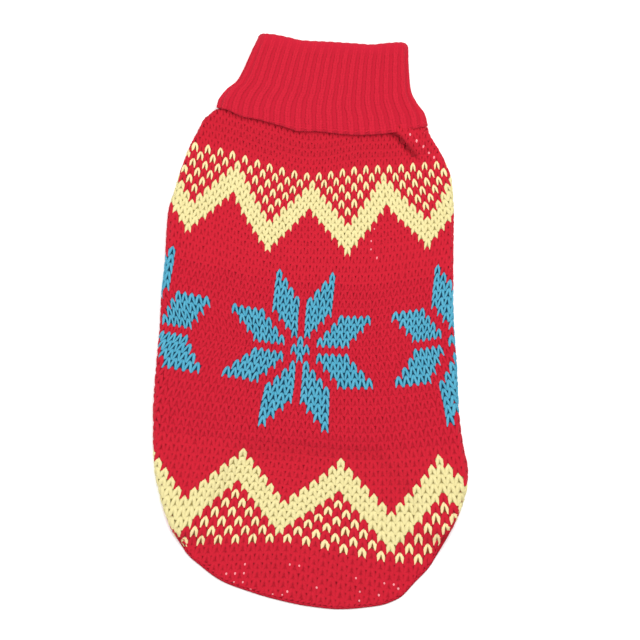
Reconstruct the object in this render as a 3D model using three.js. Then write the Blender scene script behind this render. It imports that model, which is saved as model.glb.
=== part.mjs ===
// Knitted dog sweater with a turned-down ribbed collar, laid flat on its belly side.
// Millimetres, +Z up, the collar towards +Y. The origin is on the floor under the middle of the garment.
import * as THREE from 'three';

// Knitted cloth, the air between two layers that lie on each other, and the space left at a seam.
const CLOTH = 3.0;
const LAYER_GAP = 0.4;
const SEAM_GAP = 0.3;
const SECOND_LAYER = CLOTH + LAYER_GAP;
const TWO_LAYERS = CLOTH + SECOND_LAYER;

// Side folds of the body: flat at the neck, rounder further down, with a swell that dies out inwards.
const NECK_FOLD_RADIUS = TWO_LAYERS / 2;
const SIDE_FOLD_RADIUS = 4.2;
const FOLD_ROUNDS_FROM = 118;
const FOLD_ROUNDS_TO = 88;
const SWELL_WIDTH = 35;

// The half of the collar's flap that lies underneath lifts the neck of the body by one layer.
const NECK_LIFT = CLOTH + SEAM_GAP;
const LIFT_RAMP = 18;
const COLLAR_HALF_HEIGHT = NECK_LIFT + TWO_LAYERS / 2;

// Outline of the body seen from above, from the neck down to the corners of the round tail.
const OUTLINE = [
  { y: 128.5, left: -49.9, right: 60.0 },
  { y: 124.6, left: -50.6, right: 61.2 },
  { y: 122.0, left: -50.7, right: 61.8 },
  { y: 119.8, left: -57.2, right: 62.5 },
  { y: 118.3, left: -61.2, right: 63.1 },
  { y: 115.0, left: -63.3, right: 64.1 },
  { y: 113.2, left: -64.2, right: 67.6 },
  { y: 109.0, left: -66.4, right: 69.0 },
  { y: 99.8, left: -71.1, right: 74.5 },
  { y: 90.5, left: -74.5, right: 79.2 },
  { y: 81.2, left: -77.4, right: 82.1 },
  { y: 62.6, left: -82.7, right: 83.2 },
  { y: 34.8, left: -84.6, right: 82.9 },
  { y: 16.2, left: -86.5, right: 82.9 },
  { y: -2.3, left: -87.5, right: 83.4 },
  { y: -25.0, left: -89.6, right: 85.0 },
  { y: -53.4, left: -91.4, right: 86.4 },
  { y: -71.9, left: -91.3, right: 88.7 },
  { y: -85.8, left: -90.6, right: 91.4 },
  { y: -95.1, left: -88.7, right: 91.0 },
  { y: -104.4, left: -86.5, right: 88.8 },
  { y: -113.7, left: -83.6, right: 85.4 },
  { y: -123.0, left: -79.4, right: 80.2 },
  { y: -132.2, left: -73.4, right: 74.5 },
];

// Round tail: how far the hem drops below its two corners.
const TAIL_CORNER_Y = -132.2;
const TAIL_EDGE = [
  { x: -73.4, drop: 0 },
  { x: -69.3, drop: 4.6 },
  { x: -63.5, drop: 9.3 },
  { x: -57.7, drop: 14.0 },
  { x: -50.2, drop: 18.6 },
  { x: -38.0, drop: 23.2 },
  { x: -22.9, drop: 27.9 },
  { x: -0.3, drop: 32.7 },
  { x: 17.0, drop: 34.3 },
  { x: 39.2, drop: 32.3 },
  { x: 51.3, drop: 27.9 },
  { x: 60.6, drop: 18.6 },
  { x: 69.3, drop: 9.3 },
  { x: 74.5, drop: 0 },
];
const TAIL_SAG_START = 0.6;

// Strip of the back panel that is folded to the underside: its width at each height.
const WRAP = [
  { y: 128.0, width: 13.5 },
  { y: 122.0, width: 17.5 },
  { y: 118.0, width: 25 },
  { y: 110.0, width: 30 },
  { y: 100.0, width: 33 },
  { y: 62.0, width: 37 },
  { y: 20.0, width: 40 },
  { y: -58.0, width: 41 },
  { y: -75.0, width: 36 },
  { y: -90.0, width: 27 },
  { y: -105.0, width: 14 },
  { y: -118.0, width: 0 },
];
const WRAP_END_Y = -118;
const LAST_OVERHANG = 1.5;
const REST_SLOPE = 16;

// Leg openings: each is half an ellipse out of the back panel and half out of the belly panel.
const LEG_HOLE_Y = 62;
const LEG_HOLE_HALF_LENGTH = 25;
const LEG_HOLE_HALF_WIDTH = 17;

// Crease on the right shoulder, a step in the cloth that runs out from under the collar.
const CREASE_FROM = { x: 52, y: 106.5 };
const CREASE_TO = { x: 68, y: 91 };
const CREASE_HEIGHT = 0.8;
const CREASE_WIDTH = 5;

// Collar: one row for each ring, from the hem of the flap up to the fold, with its two side points
// and how far the middle of the ring hangs below them.
const COLLAR_RINGS = [
  { leftX: -54.8, leftY: 123.8, rightX: 68.2, rightY: 115.6, bow: 10.2 },
  { leftX: -53.6, leftY: 128.4, rightX: 66.4, rightY: 120.4, bow: 7.0 },
  { leftX: -49.0, leftY: 134.6, rightX: 61.8, rightY: 127.0, bow: 5.5 },
  { leftX: -42.6, leftY: 139.9, rightX: 58.6, rightY: 134.0, bow: 4.5 },
  { leftX: -38.6, leftY: 147.0, rightX: 57.6, rightY: 142.5, bow: 3.5 },
  { leftX: -34.6, leftY: 156.0, rightX: 57.0, rightY: 151.5, bow: 2.5 },
  { leftX: -30.6, leftY: 163.8, rightX: 56.8, rightY: 158.3, bow: 2.0 },
];
const HEM_RING = 0;
const SEAM_RING = 1;
const TOP_RING = COLLAR_RINGS.length - 1;
const RIB_COUNT = 25;
const RIB_DEPTH = 1.0;
const RIB_STEPS = [
  { at: 0.0, groove: 0 },
  { at: 0.5, groove: 0 },
  { at: 0.68, groove: 1 },
  { at: 0.82, groove: 1 },
];
const COLLAR_UNDER_STEPS = 10;
const COLLAR_FOLD_STEPS = 5;

// How finely the sections of the body are cut, lengthwise and across.
const BELLY_END_Y = -58;
const BODY_ZONES = [
  { to: 88, steps: 8 },
  { to: BELLY_END_Y, steps: 18 },
  { to: TAIL_CORNER_Y, steps: 9 },
];
const WRAP_STEPS = 3;
const BEND_STEPS = 6;
const TOP_STEPS = 22;
const BELLY_STEPS = 8;

const RED_WOOL = { color: '#c9283b', roughness: 0.95, metalness: 0.0 };
const RED_RIB = { color: '#cc2438', roughness: 0.95, metalness: 0.0 };

const SIDES = { left: -1, right: 1 };

function mix(from, to, share) {
  return from + (to - from) * share;
}

function easeStep(value) {
  const share = Math.min(Math.max(value, 0), 1);
  return share * share * (3 - 2 * share);
}

// Smooth curve through one column of a table that never swings past its rows.
function tableValue(rows, key, column, at) {
  const last = rows.length - 1;
  const rising = rows[last][key] > rows[0][key] ? 1 : -1;
  const low = rising > 0 ? rows[0][key] : rows[last][key];
  const high = rising > 0 ? rows[last][key] : rows[0][key];
  const place = Math.min(Math.max(at, low), high);
  let index = 0;
  while (index < last - 1 && (place - rows[index + 1][key]) * rising > 0) {
    index += 1;
  }
  const secant = (row) => (rows[row + 1][column] - rows[row][column]) / (rows[row + 1][key] - rows[row][key]);
  const slope = (row) => {
    if (row === 0) return secant(0);
    if (row === last) return secant(last - 1);
    const before = secant(row - 1);
    const after = secant(row);
    return before * after > 0 ? (2 * before * after) / (before + after) : 0;
  };
  const start = rows[index];
  const end = rows[index + 1];
  const span = end[key] - start[key];
  const share = (place - start[key]) / span;
  const square = share * share;
  const cube = square * share;
  return (
    start[column] * (2 * cube - 3 * square + 1) +
    slope(index) * span * (cube - 2 * square + share) +
    end[column] * (3 * square - 2 * cube) +
    slope(index + 1) * span * (cube - square)
  );
}

function outlineAt(side, y) {
  return tableValue(OUTLINE, 'y', side, y);
}

// A ring of the collar seen from above is a straight line between its side points, bowed towards the tail.
function ringShape(ring) {
  const halfWidth = (ring.rightX - ring.leftX) / 2;
  return {
    middle: (ring.leftX + ring.rightX) / 2,
    halfWidth,
    level: (ring.leftY + ring.rightY) / 2,
    slope: (ring.rightY - ring.leftY) / (2 * halfWidth),
    bow: ring.bow,
  };
}

function ringY(shape, x) {
  const across = (x - shape.middle) / shape.halfWidth;
  return shape.level + shape.slope * (x - shape.middle) - shape.bow * (1 - across * across);
}

const HEM = ringShape(COLLAR_RINGS[HEM_RING]);
const SEAM = ringShape(COLLAR_RINGS[SEAM_RING]);

function neckLift(x, y) {
  const inside = Math.min(Math.max(x, HEM.middle - HEM.halfWidth), HEM.middle + HEM.halfWidth);
  return NECK_LIFT * (1 - easeStep((ringY(HEM, inside) - 1 - y) / LIFT_RAMP));
}

function foldRadius(y) {
  return mix(NECK_FOLD_RADIUS, SIDE_FOLD_RADIUS, easeStep((FOLD_ROUNDS_FROM - y) / (FOLD_ROUNDS_FROM - FOLD_ROUNDS_TO)));
}

function legHoleCut(y) {
  const along = (y - LEG_HOLE_Y) / LEG_HOLE_HALF_LENGTH;
  return LEG_HOLE_HALF_WIDTH * Math.sqrt(Math.max(0, 1 - along * along));
}

// A side fold at one height: where it starts, how far the cloth bends round, and how high its top is.
// Towards the tail the strip underneath runs out, the fold opens, and the cloth sinks to the floor.
function foldAt(side, y) {
  const radius = foldRadius(y);
  const middleRadius = radius - CLOTH / 2;
  const fullBend = Math.PI * middleRadius;
  const wrap = tableValue(WRAP, 'y', 'width', y);
  const opening = Math.min(Math.max((WRAP_END_Y - y) / (WRAP_END_Y - TAIL_CORNER_Y), 0), 1);
  const bendLength = mix(fullBend, LAST_OVERHANG, opening);
  const angle = bendLength / middleRadius;
  const lowestRadius = angle < Math.PI / 2 ? radius - CLOTH : radius;
  const reach = radius * Math.sin(Math.min(angle, Math.PI / 2));
  return {
    radius,
    middleRadius,
    fullBend,
    wrap,
    opening,
    length: bendLength + wrap - (wrap > 0 ? legHoleCut(y) : 0),
    start: outlineAt(side, y) - SIDES[side] * reach,
    top: radius - lowestRadius * Math.cos(angle),
  };
}

// Place on the folded stretch, at a distance along the middle of the cloth from where the fold starts.
function foldPoint(fold, side, travel, depth) {
  const angle = Math.min(travel / fold.middleRadius, Math.PI);
  const flat = Math.max(0, travel - fold.fullBend);
  const radius = fold.radius - depth;
  return {
    x: fold.start + SIDES[side] * (radius * Math.sin(angle) - flat),
    z: fold.top - fold.radius + radius * Math.cos(angle),
  };
}

// One section of the body: slanted and bowed like the neck seam at share 0, straight in the middle of
// the body, and along the round tail at share 1.
function sectionAt(share) {
  const neckness = (1 - Math.min(share / 0.3, 1)) ** 2;
  const halfWidth = mix(90, SEAM.halfWidth, neckness);
  const base = (x) => {
    const across = (x - SEAM.middle) / halfWidth;
    const level = mix(SEAM.level - SEAM_GAP, TAIL_CORNER_Y, share);
    return level + neckness * (SEAM.slope * (x - SEAM.middle) - SEAM.bow * (1 - across * across));
  };
  const edgeY = {};
  for (const side of Object.keys(SIDES)) {
    let y = base(0);
    for (let pass = 0; pass < 12; pass += 1) {
      y = base(outlineAt(side, y));
    }
    edgeY[side] = y;
  }
  const left = outlineAt('left', edgeY.left);
  const right = outlineAt('right', edgeY.right);
  const firstX = TAIL_EDGE[0].x;
  const lastX = TAIL_EDGE[TAIL_EDGE.length - 1].x;
  const sag = easeStep((share - TAIL_SAG_START) / (1 - TAIL_SAG_START));
  const yAt = (x) => {
    const tailX = mix(firstX, lastX, Math.min(Math.max((x - left) / (right - left), 0), 1));
    return base(x) - sag * tableValue(TAIL_EDGE, 'x', 'drop', tailX);
  };
  return { edgeY, yAt };
}

const BELLY_END_SHARE = (SEAM.level - SEAM_GAP - BELLY_END_Y) / (SEAM.level - SEAM_GAP - TAIL_CORNER_Y);
const BELLY_END_SECTION = sectionAt(BELLY_END_SHARE);

// Height that the top layer rests at: on the belly panel, on the folded strips, or down on the floor.
function restHeight(x, y, folds) {
  let bare = 1 - easeStep((y - BELLY_END_SECTION.yAt(x) + 1 + REST_SLOPE) / REST_SLOPE);
  for (const side of Object.keys(SIDES)) {
    const inward = SIDES[side] * (folds[side].start - x) - folds[side].wrap - 1;
    const support = (1 - easeStep(inward / REST_SLOPE)) * (1 - folds[side].opening);
    bare *= 1 - support;
  }
  return CLOTH + SECOND_LAYER * (1 - bare);
}

// The crease raises the cloth on its outer side and lets it dip on the inner one.
function creaseHeight(x, y) {
  const alongX = CREASE_TO.x - CREASE_FROM.x;
  const alongY = CREASE_TO.y - CREASE_FROM.y;
  const length = Math.hypot(alongX, alongY);
  const along = ((x - CREASE_FROM.x) * alongX + (y - CREASE_FROM.y) * alongY) / length;
  const across = ((y - CREASE_FROM.y) * alongX - (x - CREASE_FROM.x) * alongY) / length / CREASE_WIDTH;
  const ends = easeStep(along / CREASE_WIDTH) * easeStep((length - along) / CREASE_WIDTH);
  return CREASE_HEIGHT * ends * 2 * across * Math.exp(-across * across);
}

function topHeight(x, y) {
  const folds = { left: foldAt('left', y), right: foldAt('right', y) };
  const rest = restHeight(x, y, folds);
  let height = rest;
  for (const side of Object.keys(SIDES)) {
    const inward = SIDES[side] * (folds[side].start - x);
    height += (folds[side].top - rest) * (1 - easeStep(inward / SWELL_WIDTH));
  }
  return height;
}

// Distances along the folded stretch at which a section is cut: close together round the bend.
function foldTravels(fold) {
  const bend = Math.min(fold.fullBend, 0.8 * fold.length);
  const travels = [];
  for (let step = 1; step <= BEND_STEPS; step += 1) {
    travels.push((bend * step) / BEND_STEPS);
  }
  for (let step = 1; step <= WRAP_STEPS; step += 1) {
    travels.push(mix(bend, fold.length, step / WRAP_STEPS));
  }
  return travels;
}

function foldedPoints(section, side) {
  const fold = foldAt(side, section.edgeY[side]);
  return foldTravels(fold).map((travel) => {
    const pair = {};
    for (const [name, depth] of [['outer', 0], ['inner', CLOTH]]) {
      const place = foldPoint(fold, side, travel, depth);
      const y = section.yAt(place.x);
      pair[name] = new THREE.Vector3(place.x, y, place.z + neckLift(place.x, y));
    }
    return pair;
  });
}

function topPoints(section) {
  const from = foldAt('left', section.edgeY.left).start;
  const to = foldAt('right', section.edgeY.right).start;
  const points = [];
  for (let step = 0; step <= TOP_STEPS; step += 1) {
    const x = mix(from, to, step / TOP_STEPS);
    const y = section.yAt(x);
    const z = topHeight(x, y) + neckLift(x, y);
    points.push({
      outer: new THREE.Vector3(x, y, z + creaseHeight(x, y)),
      inner: new THREE.Vector3(x, y, z - CLOTH),
    });
  }
  return points;
}

function bodySections(lastY) {
  const span = SEAM.level - SEAM_GAP - TAIL_CORNER_Y;
  const sections = [sectionAt(0)];
  let from = SEAM.level - SEAM_GAP;
  for (const zone of BODY_ZONES) {
    for (let step = 1; step <= zone.steps; step += 1) {
      const level = mix(from, zone.to, step / zone.steps);
      if (level >= lastY - 1e-6) {
        sections.push(sectionAt((SEAM.level - SEAM_GAP - level) / span));
      }
    }
    from = zone.to;
  }
  return sections;
}

function backPanelRows() {
  return bodySections(TAIL_CORNER_Y).map((section) => [
    ...foldedPoints(section, 'left').reverse(),
    ...topPoints(section),
    ...foldedPoints(section, 'right'),
  ]);
}

// Edge of the belly panel, one seam gap inside the folded strip of the back panel.
function bellyEdge(section, side) {
  const fold = foldAt(side, section.edgeY[side]);
  return fold.start - SIDES[side] * (fold.wrap + SEAM_GAP + legHoleCut(section.edgeY[side]));
}

function bellyPanelRows() {
  return bodySections(BELLY_END_Y).map((section) => {
    const from = bellyEdge(section, 'right');
    const to = bellyEdge(section, 'left');
    const row = [];
    for (let step = 0; step <= BELLY_STEPS; step += 1) {
      const x = mix(from, to, step / BELLY_STEPS);
      const y = section.yAt(x);
      const z = neckLift(x, y);
      row.push({ outer: new THREE.Vector3(x, y, z), inner: new THREE.Vector3(x, y, z + CLOTH) });
    }
    return row;
  });
}

// A closed sheet of cloth from rows of outer and inner points: two faces and a rim all round.
function sheetGeometry(rows) {
  const columns = rows[0].length;
  const layerSize = rows.length * columns;
  const positions = [];
  for (const layer of ['outer', 'inner']) {
    for (const row of rows) {
      for (const pair of row) {
        positions.push(pair[layer].x, pair[layer].y, pair[layer].z);
      }
    }
  }
  const outer = (row, column) => row * columns + column;
  const inner = (row, column) => layerSize + outer(row, column);
  const triangles = [];
  const addQuad = (a, b, c, d) => triangles.push(a, b, c, a, c, d);
  const lastRow = rows.length - 1;
  const lastColumn = columns - 1;
  for (let row = 0; row < lastRow; row += 1) {
    for (let column = 0; column < lastColumn; column += 1) {
      addQuad(outer(row, column), outer(row + 1, column), outer(row + 1, column + 1), outer(row, column + 1));
      addQuad(inner(row, column), inner(row, column + 1), inner(row + 1, column + 1), inner(row + 1, column));
    }
    addQuad(outer(row + 1, 0), outer(row, 0), inner(row, 0), inner(row + 1, 0));
    addQuad(outer(row, lastColumn), outer(row + 1, lastColumn), inner(row + 1, lastColumn), inner(row, lastColumn));
  }
  for (let column = 0; column < lastColumn; column += 1) {
    addQuad(outer(0, column), outer(0, column + 1), inner(0, column + 1), inner(0, column));
    addQuad(outer(lastRow, column + 1), outer(lastRow, column), inner(lastRow, column), inner(lastRow, column + 1));
  }
  return geometryFrom(positions, triangles);
}

function geometryFrom(positions, triangles) {
  const geometry = new THREE.BufferGeometry();
  geometry.setAttribute('position', new THREE.Float32BufferAttribute(positions, 3));
  geometry.setIndex(triangles);
  geometry.computeVertexNormals();
  return geometry;
}

// Stops round a collar ring: the ribbed stretch from underneath, round the left bend, across the top and
// round the right bend, then the plain stretch that lies on the floor.
function collarStops() {
  const stops = [];
  for (let rib = 0; rib < RIB_COUNT; rib += 1) {
    for (const part of RIB_STEPS) {
      stops.push({ ribbed: (rib + part.at) / (RIB_COUNT - 0.5), groove: part.groove });
    }
  }
  const ribbedStops = stops.filter((stop) => stop.ribbed <= 1);
  for (let step = 1; step < COLLAR_UNDER_STEPS; step += 1) {
    ribbedStops.push({ under: step / COLLAR_UNDER_STEPS, groove: 0 });
  }
  return ribbedStops;
}

// Place of a stop on a ring, at a depth inside its outer surface: across the collar, and up from the floor.
function ringPlace(shape, stop, depth) {
  const flat = shape.halfWidth - COLLAR_HALF_HEIGHT;
  const radius = COLLAR_HALF_HEIGHT - depth;
  if (stop.under !== undefined) {
    return { across: mix(flat, -flat, stop.under), z: COLLAR_HALF_HEIGHT - radius };
  }
  const bend = Math.PI * COLLAR_HALF_HEIGHT;
  const travel = stop.ribbed * (2 * bend + 2 * flat);
  if (travel < bend) {
    const angle = travel / COLLAR_HALF_HEIGHT;
    return { across: -flat - radius * Math.sin(angle), z: COLLAR_HALF_HEIGHT - radius * Math.cos(angle) };
  }
  if (travel < bend + 2 * flat) {
    return { across: travel - bend - flat, z: COLLAR_HALF_HEIGHT + radius };
  }
  const angle = (travel - bend - 2 * flat) / COLLAR_HALF_HEIGHT;
  return { across: flat + radius * Math.sin(angle), z: COLLAR_HALF_HEIGHT + radius * Math.cos(angle) };
}

// Section through the collar's cloth, as rings: up the outside of the flap, over the fold, down the inside
// of the neck to its seam, back up between the two layers, and down the inside of the flap to its hem.
function collarProfile() {
  const foldDepth = 2 * CLOTH + SEAM_GAP;
  const profile = [];
  for (const ring of [0, 1, 2, 3, 4, 5, 6]) {
    profile.push({ ring, rise: 0, depth: 0, ribs: 1, rises: 0, sinks: 1 });
  }
  for (let step = 1; step < COLLAR_FOLD_STEPS; step += 1) {
    const angle = (Math.PI * step) / COLLAR_FOLD_STEPS;
    profile.push({
      ring: TOP_RING,
      rise: (foldDepth / 2) * Math.sin(angle),
      depth: (foldDepth / 2) * (1 - Math.cos(angle)),
      ribs: 1 - step / COLLAR_FOLD_STEPS,
      rises: -Math.sin(angle),
      sinks: Math.cos(angle),
    });
  }
  for (const ring of [TOP_RING, 3, SEAM_RING]) {
    profile.push({ ring, rise: 0, depth: foldDepth, ribs: 0, rises: 0, sinks: 0 });
  }
  for (const ring of [SEAM_RING, 3, TOP_RING]) {
    profile.push({ ring, rise: 0, depth: CLOTH + SEAM_GAP, ribs: 0, rises: 0, sinks: 0 });
  }
  profile.push({ ring: TOP_RING, rise: SEAM_GAP / 2, depth: CLOTH + SEAM_GAP / 2, ribs: 0, rises: 0, sinks: 0 });
  for (const ring of [TOP_RING, 3, SEAM_RING, HEM_RING]) {
    profile.push({ ring, rise: 0, depth: CLOTH, ribs: 0, rises: 0, sinks: 0 });
  }
  return profile;
}

function collarGeometry() {
  const stops = collarStops();
  const profile = collarProfile();
  const positions = [];
  for (const part of profile) {
    const shape = ringShape(COLLAR_RINGS[part.ring]);
    for (const stop of stops) {
      const groove = RIB_DEPTH * stop.groove * part.ribs;
      const place = ringPlace(shape, stop, part.depth + groove * part.sinks);
      const x = shape.middle + place.across;
      positions.push(x, ringY(shape, x) + part.rise + groove * part.rises, place.z);
    }
  }
  const triangles = [];
  for (let row = 0; row < profile.length; row += 1) {
    const nextRow = (row + 1) % profile.length;
    for (let column = 0; column < stops.length; column += 1) {
      const nextColumn = (column + 1) % stops.length;
      const a = row * stops.length + column;
      const b = row * stops.length + nextColumn;
      const c = nextRow * stops.length + nextColumn;
      const d = nextRow * stops.length + column;
      triangles.push(a, b, c, a, c, d);
    }
  }
  return geometryFrom(positions, triangles);
}

function clothMesh(name, geometry, look) {
  const mesh = new THREE.Mesh(geometry, new THREE.MeshStandardMaterial(look));
  mesh.name = name;
  return mesh;
}

const sweater = new THREE.Group();
sweater.add(clothMesh('back_panel', sheetGeometry(backPanelRows()), RED_WOOL));
sweater.add(clothMesh('belly_panel', sheetGeometry(bellyPanelRows()), RED_WOOL));
sweater.add(clothMesh('collar', collarGeometry(), RED_RIB));

export default sweater;
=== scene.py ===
import bpy
import numpy as np
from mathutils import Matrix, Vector


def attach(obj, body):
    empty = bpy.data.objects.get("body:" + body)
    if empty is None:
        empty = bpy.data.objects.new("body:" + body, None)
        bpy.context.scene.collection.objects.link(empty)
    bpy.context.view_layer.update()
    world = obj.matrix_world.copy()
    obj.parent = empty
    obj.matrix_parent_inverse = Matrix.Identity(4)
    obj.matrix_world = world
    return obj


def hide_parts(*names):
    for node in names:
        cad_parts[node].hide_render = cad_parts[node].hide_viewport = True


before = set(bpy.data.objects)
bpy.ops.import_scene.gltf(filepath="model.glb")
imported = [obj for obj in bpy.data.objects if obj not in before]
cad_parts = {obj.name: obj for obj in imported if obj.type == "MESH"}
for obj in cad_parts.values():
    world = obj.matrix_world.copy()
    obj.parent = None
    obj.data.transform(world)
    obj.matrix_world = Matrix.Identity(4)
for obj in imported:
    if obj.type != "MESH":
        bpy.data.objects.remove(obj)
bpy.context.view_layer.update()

# Back panel: the main piece of the sweater, a jacquard knit in red, cream and blue wool. It runs from the
# neck seam to the round tail and is folded round both sides, so that a strip of it lies underneath. Its cloth
# here is the core of the fabric, a thin shell sunk below the stitches, which follow as pieces of their own.
MM = 0.001
CLOTH = 3.0
LAYER_GAP = 0.4
SEAM_GAP = 0.3
STITCH_SINK = 1.5
PURL_HEIGHT = 0.6
SECOND_LAYER = CLOTH + LAYER_GAP
TWO_LAYERS = CLOTH + SECOND_LAYER
NECK_LIFT = CLOTH + SEAM_GAP
COLLAR_HALF_HEIGHT = NECK_LIFT + TWO_LAYERS / 2
NECK_FOLD_RADIUS = TWO_LAYERS / 2
SIDE_FOLD_RADIUS = 4.2
FOLD_ROUNDS_FROM = 118
FOLD_ROUNDS_TO = 88
SWELL_WIDTH = 35
LIFT_RAMP = 18
REST_SLOPE = 16
SIDES = {"left": -1, "right": 1}

# Outline of the body seen from above. Columns: y, left x, right x.
OUTLINE = np.array([
    (128.5, -49.9, 60.0), (124.6, -50.6, 61.2), (123.2, -54.6, 61.5), (121.6, -57.2, 61.9),
    (119.8, -59.0, 62.5), (118.3, -61.2, 63.1), (115.0, -63.3, 64.1), (113.2, -64.2, 67.6),
    (109.0, -66.4, 69.0), (99.8, -71.1, 74.5), (90.5, -74.5, 79.2), (81.2, -77.4, 82.1), (62.6, -82.7, 83.2),
    (34.8, -84.6, 82.9), (16.2, -86.5, 82.9), (-2.3, -87.5, 83.4), (-25.0, -89.6, 85.0),
    (-53.4, -91.4, 86.4), (-71.9, -91.3, 88.7), (-85.8, -90.6, 91.4), (-95.1, -88.7, 91.0),
    (-104.4, -86.5, 88.8), (-113.7, -83.6, 85.4), (-123.0, -79.4, 80.2), (-132.2, -73.4, 74.5),
])[::-1]
OUTLINE_X = {"left": OUTLINE[:, 1], "right": OUTLINE[:, 2]}

# Hem of the round tail. Columns: x, drop below the tail's two corners.
TAIL_CORNER_Y = -132.2
TAIL_EDGE = np.array([
    (-73.4, 0), (-69.3, 4.6), (-63.5, 9.3), (-57.7, 14.0), (-50.2, 18.6), (-38.0, 23.2), (-22.9, 27.9),
    (-0.3, 32.7), (17.0, 34.3), (39.2, 32.3), (51.3, 27.9), (60.6, 18.6), (69.3, 9.3), (74.5, 0),
])
TAIL_SAG_START = 0.6

# Strip of the back panel that is folded underneath. Columns: y, width.
WRAP = np.array([
    (-118, 0), (-105, 14), (-90, 27), (-75, 36), (-58, 41), (20, 40), (62, 37), (100, 33), (110, 30),
    (118, 25), (122, 17.5), (128, 13.5),
])
WRAP_END_Y = -118
LAST_OVERHANG = 1.5

# The neck seam and the collar's hem, each a line between two side points, bowed towards the tail.
SEAM = {"middle": 6.4, "half_width": 60.0, "level": 124.4, "slope": -8.0 / 120.0, "bow": 7.0}
BOW_FADES_AT = 0.3
TAIL_HALF_WIDTH = 90
HEM = {"middle": 6.7, "half_width": 61.5, "level": 119.7, "slope": -8.2 / 123.0, "bow": 10.2}

LEG_HOLE_Y = 62
LEG_HOLE_HALF_LENGTH = 25
LEG_HOLE_HALF_WIDTH = 17
BELLY_END_Y = -58

# Crease on the right shoulder, where the strip beside the neck laps over the cloth below it. It starts and
# fades over a stretch of its line, and the lap rises and the dip lies at a short way across it.
CREASE_FROM = np.array([46.6, 112.2])
CREASE_TO = np.array([66.5, 90.5])
LAP_HEIGHT = 3.8
LAP_WIDTH = 10.0
DIP_DEPTH = 2.2
DIP_WIDTH = 2.6
CREASE_START = 2.5
CREASE_FADE = 16.0
LAP_LEAD = 0.3
LAP_STEP = 0.8
DIP_AWAY = 1.2


def mix(start, end, share):
    return start + (end - start) * share


def ease_step(value):
    """0 below 0, 1 above 1, and 3 s^2 - 2 s^3 between."""
    share = np.clip(value, 0, 1)
    return share * share * (3 - 2 * share)


def smooth_curve(knots, values, at, run_on=False):
    """Cubic Hermite curve through a table. The slope at a row is the harmonic mean of the slopes on its two
    sides, or 0 where they differ in sign, so it never swings past a row. It stays level beyond the ends, or
    runs straight on. The values are one column, or one column for each place."""
    knots = np.asarray(knots, float)
    places = np.asarray(at, float)
    flat = places.ravel()
    values = np.asarray(values, float).reshape(len(knots), -1)
    values = np.broadcast_to(values, (len(knots), flat.size)) if values.shape[1] != flat.size else values
    secants = np.diff(values, axis=0) / np.diff(knots)[:, None]
    product = secants[:-1] * secants[1:]
    total = np.where(product > 0, secants[:-1] + secants[1:], 1)
    inner = np.where(product > 0, 2 * product / total, 0)
    slopes = np.concatenate([secants[:1], inner, secants[-1:]])
    inside = np.clip(flat, knots[0], knots[-1])
    piece = np.clip(np.searchsorted(knots, inside, side="right") - 1, 0, len(knots) - 2)
    own = np.arange(flat.size)
    span = knots[piece + 1] - knots[piece]
    share = (inside - knots[piece]) / span
    square, cube = share**2, share**3
    curve = (
        values[piece, own] * (2 * cube - 3 * square + 1)
        + slopes[piece, own] * span * (cube - 2 * square + share)
        + values[piece + 1, own] * (3 * square - 2 * cube)
        + slopes[piece + 1, own] * span * (cube - square)
    )
    if run_on:
        curve = curve + (flat - inside) * np.where(flat > inside, slopes[-1], slopes[0])
    return curve.reshape(places.shape)


def outline_at(side, y):
    return smooth_curve(OUTLINE[:, 0], OUTLINE_X[side], y)


def bowed_line(line, x):
    """y = level + slope (x - middle) - bow (1 - ((x - middle) / half width)^2)."""
    across = (x - line["middle"]) / line["half_width"]
    return line["level"] + line["slope"] * (x - line["middle"]) - line["bow"] * (1 - across**2)


def neck_lift(x, y):
    """The flap underneath lifts the neck by one layer, and the cloth comes down over a ramp past its hem."""
    inside = np.clip(x, HEM["middle"] - HEM["half_width"], HEM["middle"] + HEM["half_width"])
    return NECK_LIFT * (1 - ease_step((bowed_line(HEM, inside) - 1 - y) / LIFT_RAMP))


def leg_hole_cut(y):
    """Half an ellipse: width sqrt(1 - (distance from its middle / half length)^2)."""
    along = (y - LEG_HOLE_Y) / LEG_HOLE_HALF_LENGTH
    return LEG_HOLE_HALF_WIDTH * np.sqrt(np.clip(1 - along**2, 0, 1))


def fold_at(side, y):
    """A side fold: a half circle of cloth from the top layer to the strip underneath. Towards the tail the
    strip runs out, the half circle opens to a smaller angle, and the cloth sinks to the floor."""
    rounding = ease_step((FOLD_ROUNDS_FROM - y) / (FOLD_ROUNDS_FROM - FOLD_ROUNDS_TO))
    radius = mix(NECK_FOLD_RADIUS, SIDE_FOLD_RADIUS, rounding)
    middle_radius = radius - CLOTH / 2
    full_bend = np.pi * middle_radius
    wrap = smooth_curve(WRAP[:, 0], WRAP[:, 1], y)
    opening = np.clip((WRAP_END_Y - y) / (WRAP_END_Y - TAIL_CORNER_Y), 0, 1)
    bend_length = mix(full_bend, LAST_OVERHANG, opening)
    angle = bend_length / middle_radius
    lowest_radius = np.where(angle < np.pi / 2, radius - CLOTH, radius)
    reach = radius * np.sin(np.minimum(angle, np.pi / 2))
    return {
        "radius": radius, "middle_radius": middle_radius, "full_bend": full_bend,
        "wrap": wrap, "opening": opening,
        "length": bend_length + wrap - np.where(wrap > 0, leg_hole_cut(y), 0),
        "start": outline_at(side, y) - SIDES[side] * reach,
        "top": radius - lowest_radius * np.cos(angle),
    }


def fold_point(fold, side, travel, depth):
    """x and z at a distance along the cloth's middle from the fold's start, at a depth below its surface."""
    angle = np.minimum(travel / fold["middle_radius"], np.pi)
    flat = np.maximum(0, travel - fold["full_bend"])
    radius = fold["radius"] - depth
    x = fold["start"] + SIDES[side] * (radius * np.sin(angle) - flat)
    return x, fold["top"] - fold["radius"] + radius * np.cos(angle)


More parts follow.
